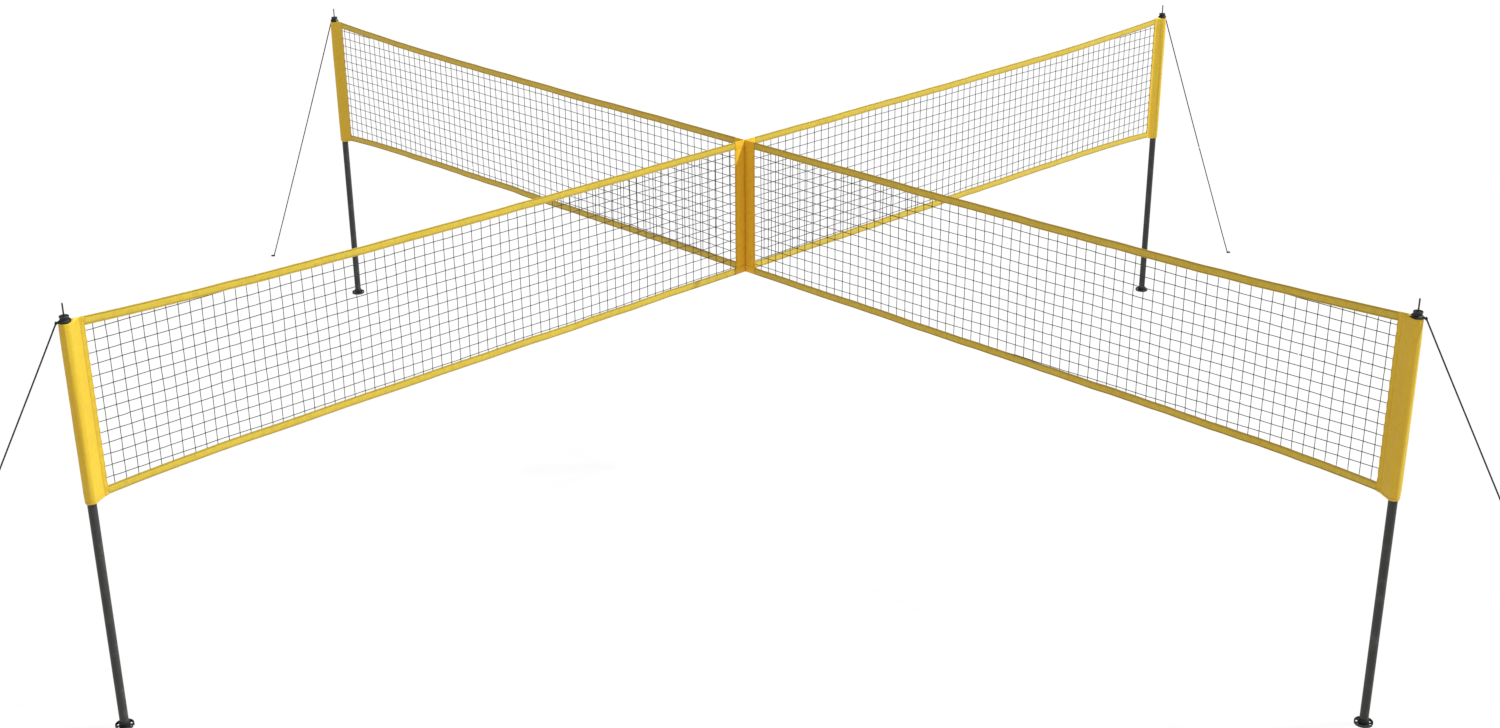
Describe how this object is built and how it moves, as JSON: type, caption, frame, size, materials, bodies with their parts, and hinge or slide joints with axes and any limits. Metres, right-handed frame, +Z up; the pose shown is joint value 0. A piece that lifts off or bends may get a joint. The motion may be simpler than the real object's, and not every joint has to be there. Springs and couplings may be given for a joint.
{
  "type": "volleyball net on poles",
  "caption": "Cross-shaped outdoor volleyball net: net panels with yellow tapes meet in a centre column, on guyed height-adjustable poles with disc feet.",
  "frame": {"origin": "on the ground, under the centre of the cross", "axes": "+Z up; +X along the east arm and +Y along the north arm, each from the centre towards its pole"},
  "size_m": [11.5695, 11.5562, 2.328],
  "materials": {
    "pole_steel": "satin powder coat",
    "pin_steel": "satin black coating",
    "spring_steel": "bare",
    "moulded_black": "moulded, slightly textured",
    "rope": "braided cord",
    "yellow_fabric": "woven coated polyester",
    "net_twine": "braided knotted twine"
  },
  "bodies": {
    "ground_posts": {"bottom_pole_east": "pole_steel", "bottom_pole_north": "pole_steel", "bottom_pole_west": "pole_steel", "bottom_pole_south": "pole_steel", "snap_buttons": "spring_steel", "rope_end_east": "rope", "rope_end_north": "rope", "rope_end_west": "rope", "rope_end_south": "rope"},
    "foot_east": {"foot_east": "moulded_black"},
    "foot_north": {"foot_north": "moulded_black"},
    "foot_west": {"foot_west": "moulded_black"},
    "foot_south": {"foot_south": "moulded_black"},
    "raised_net": {"middle_pole_east": "pole_steel", "middle_pole_north": "pole_steel", "middle_pole_west": "pole_steel", "middle_pole_south": "pole_steel", "upper_pole_east": "pole_steel", "upper_pole_north": "pole_steel", "upper_pole_west": "pole_steel", "upper_pole_south": "pole_steel", "pole_plugs": "moulded_black", "top_pin_east": "pin_steel", "top_pin_north": "pin_steel", "top_pin_west": "pin_steel", "top_pin_south": "pin_steel", "guy_eye_east": "rope", "guy_eye_north": "rope", "guy_eye_west": "rope", "guy_eye_south": "rope", "guy_rope_east": "rope", "guy_rope_north": "rope", "guy_rope_west": "rope", "guy_rope_south": "rope", "sleeve_east": "yellow_fabric", "sleeve_north": "yellow_fabric", "sleeve_west": "yellow_fabric", "sleeve_south": "yellow_fabric", "top_tape_east": "yellow_fabric", "top_tape_north": "yellow_fabric", "top_tape_west": "yellow_fabric", "top_tape_south": "yellow_fabric", "bottom_tape_east": "yellow_fabric", "bottom_tape_north": "yellow_fabric", "bottom_tape_west": "yellow_fabric", "bottom_tape_south": "yellow_fabric", "netting_east": "net_twine", "netting_north": "net_twine", "netting_west": "net_twine", "netting_south": "net_twine", "centre_flap_east": "yellow_fabric", "centre_flap_north": "yellow_fabric", "centre_flap_west": "yellow_fabric", "centre_flap_south": "yellow_fabric"},
    "cap_east": {"cap_east": "moulded_black"},
    "cap_north": {"cap_north": "moulded_black"},
    "cap_west": {"cap_west": "moulded_black"},
    "cap_south": {"cap_south": "moulded_black"}
  },
  "joints": [
    {"name": "net_height", "type": "slide", "parent": "ground_posts", "child": "raised_net", "axis": [0, 0, 1], "range_m": [0, 0.19]},
    {"name": "foot_east_turn", "type": "hinge", "parent": "ground_posts", "child": "foot_east", "pos_m": [4.5, 0, 0], "axis": [0, 0, 1], "continuous": true},
    {"name": "foot_north_turn", "type": "hinge", "parent": "ground_posts", "child": "foot_north", "pos_m": [0, 4.5, 0], "axis": [0, 0, 1], "continuous": true},
    {"name": "foot_west_turn", "type": "hinge", "parent": "ground_posts", "child": "foot_west", "pos_m": [-4.5, 0, 0], "axis": [0, 0, 1], "continuous": true},
    {"name": "foot_south_turn", "type": "hinge", "parent": "ground_posts", "child": "foot_south", "pos_m": [0, -4.5, 0], "axis": [0, 0, 1], "continuous": true},
    {"name": "cap_east_lift", "type": "slide", "parent": "raised_net", "child": "cap_east", "axis": [0, 0, 1], "range_m": [0, 0.1]},
    {"name": "cap_north_lift", "type": "slide", "parent": "raised_net", "child": "cap_north", "axis": [0, 0, 1], "range_m": [0, 0.1]},
    {"name": "cap_west_lift", "type": "slide", "parent": "raised_net", "child": "cap_west", "axis": [0, 0, 1], "range_m": [0, 0.1]},
    {"name": "cap_south_lift", "type": "slide", "parent": "raised_net", "child": "cap_south", "axis": [0, 0, 1], "range_m": [0, 0.1]}
  ]
}
